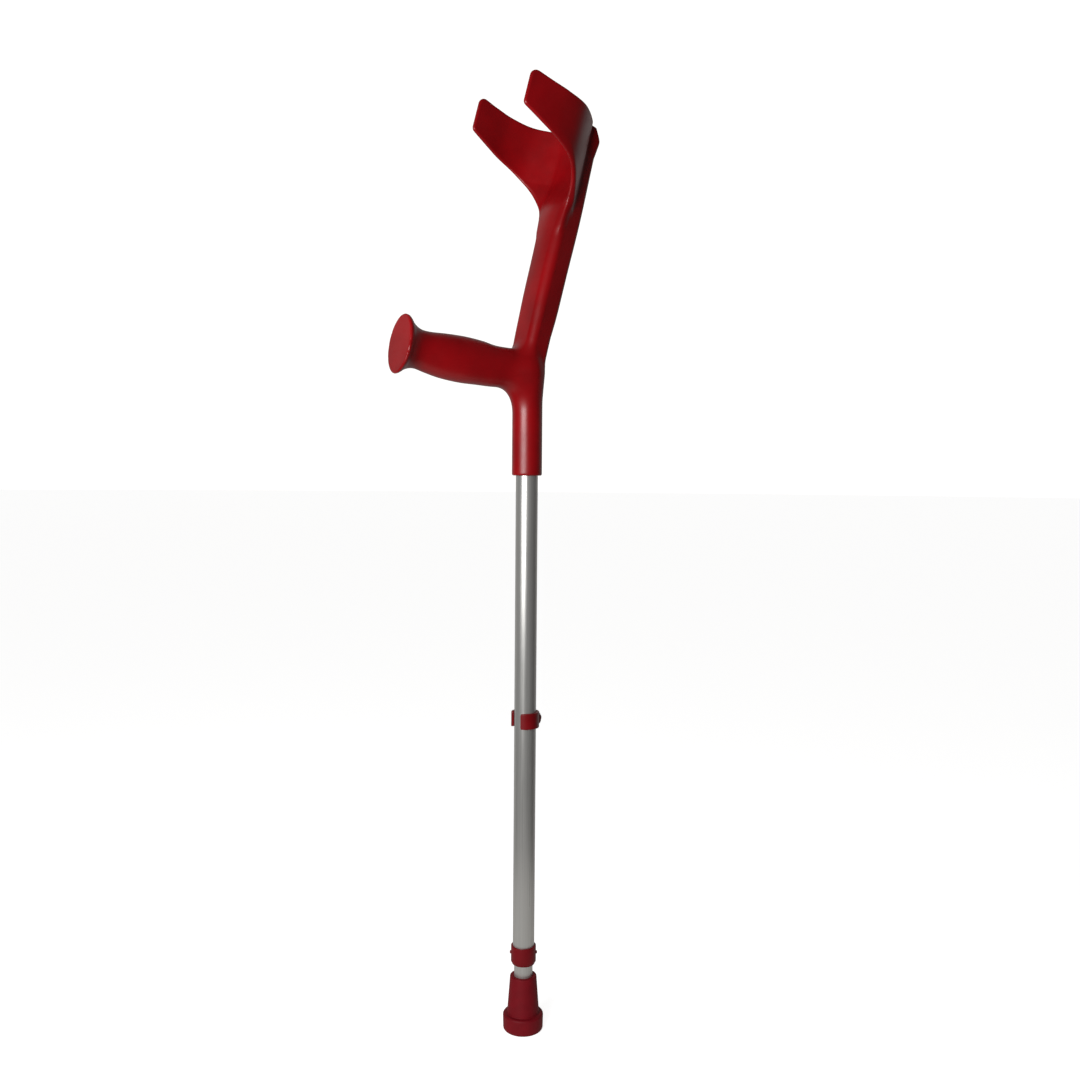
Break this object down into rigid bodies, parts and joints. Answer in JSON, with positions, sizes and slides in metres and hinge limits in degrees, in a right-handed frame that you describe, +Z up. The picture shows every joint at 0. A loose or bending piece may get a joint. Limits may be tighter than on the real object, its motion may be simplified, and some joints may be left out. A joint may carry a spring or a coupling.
{
  "type": "forearm crutch",
  "caption": "Height-adjustable forearm crutch: one-piece moulded cuff, stem and grip on telescoping aluminium tubes with a locking clip and a rubber tip.",
  "frame": {"origin": "middle of the rubber tip's rest face, on the ground", "axes": "+Z up the tubes, +X forwards along the hand grip, +Y to the crutch's left"},
  "size_m": [0.2225, 0.1012, 0.9436],
  "materials": {
    "red_moulding": "satin injection-moulded polypropylene",
    "red_moulding_cap": "satin moulded cap",
    "satin_tube": "satin anodised extruded tube",
    "rivet_metal": "plain blind rivet",
    "red_collar": "smooth moulded collar",
    "red_clip": "smooth moulded spring clip",
    "dark_peg": "smooth moulded peg",
    "grey_bush": "plain moulded bush",
    "red_rubber": "matt moulded rubber",
    "washer_steel": "plain steel washer"
  },
  "bodies": {
    "lower_leg": {"lower_tube": "satin_tube", "guide_bush": "grey_bush", "ferrule": "red_rubber", "ferrule_washer": "washer_steel"},
    "shaft": {"handle_body": "red_moulding", "grip_end_cap": "red_moulding_cap", "upper_tube": "satin_tube", "sleeve_rivet": "rivet_metal", "anti_rattle_collar": "red_collar"},
    "height_clip": {"clip_band": "red_clip", "clip_peg": "dark_peg"}
  },
  "joints": [
    {"name": "height_slide", "type": "slide", "parent": "lower_leg", "child": "shaft", "axis": [0, 0, 1], "range_m": [0, 0.24]},
    {"name": "clip_pull", "type": "slide", "parent": "shaft", "child": "height_clip", "axis": [-1, 0, 0], "range_m": [0, 0.0045], "stiffness_N_per_m": 1500, "deforming": ["clip_band"]}
  ]
}
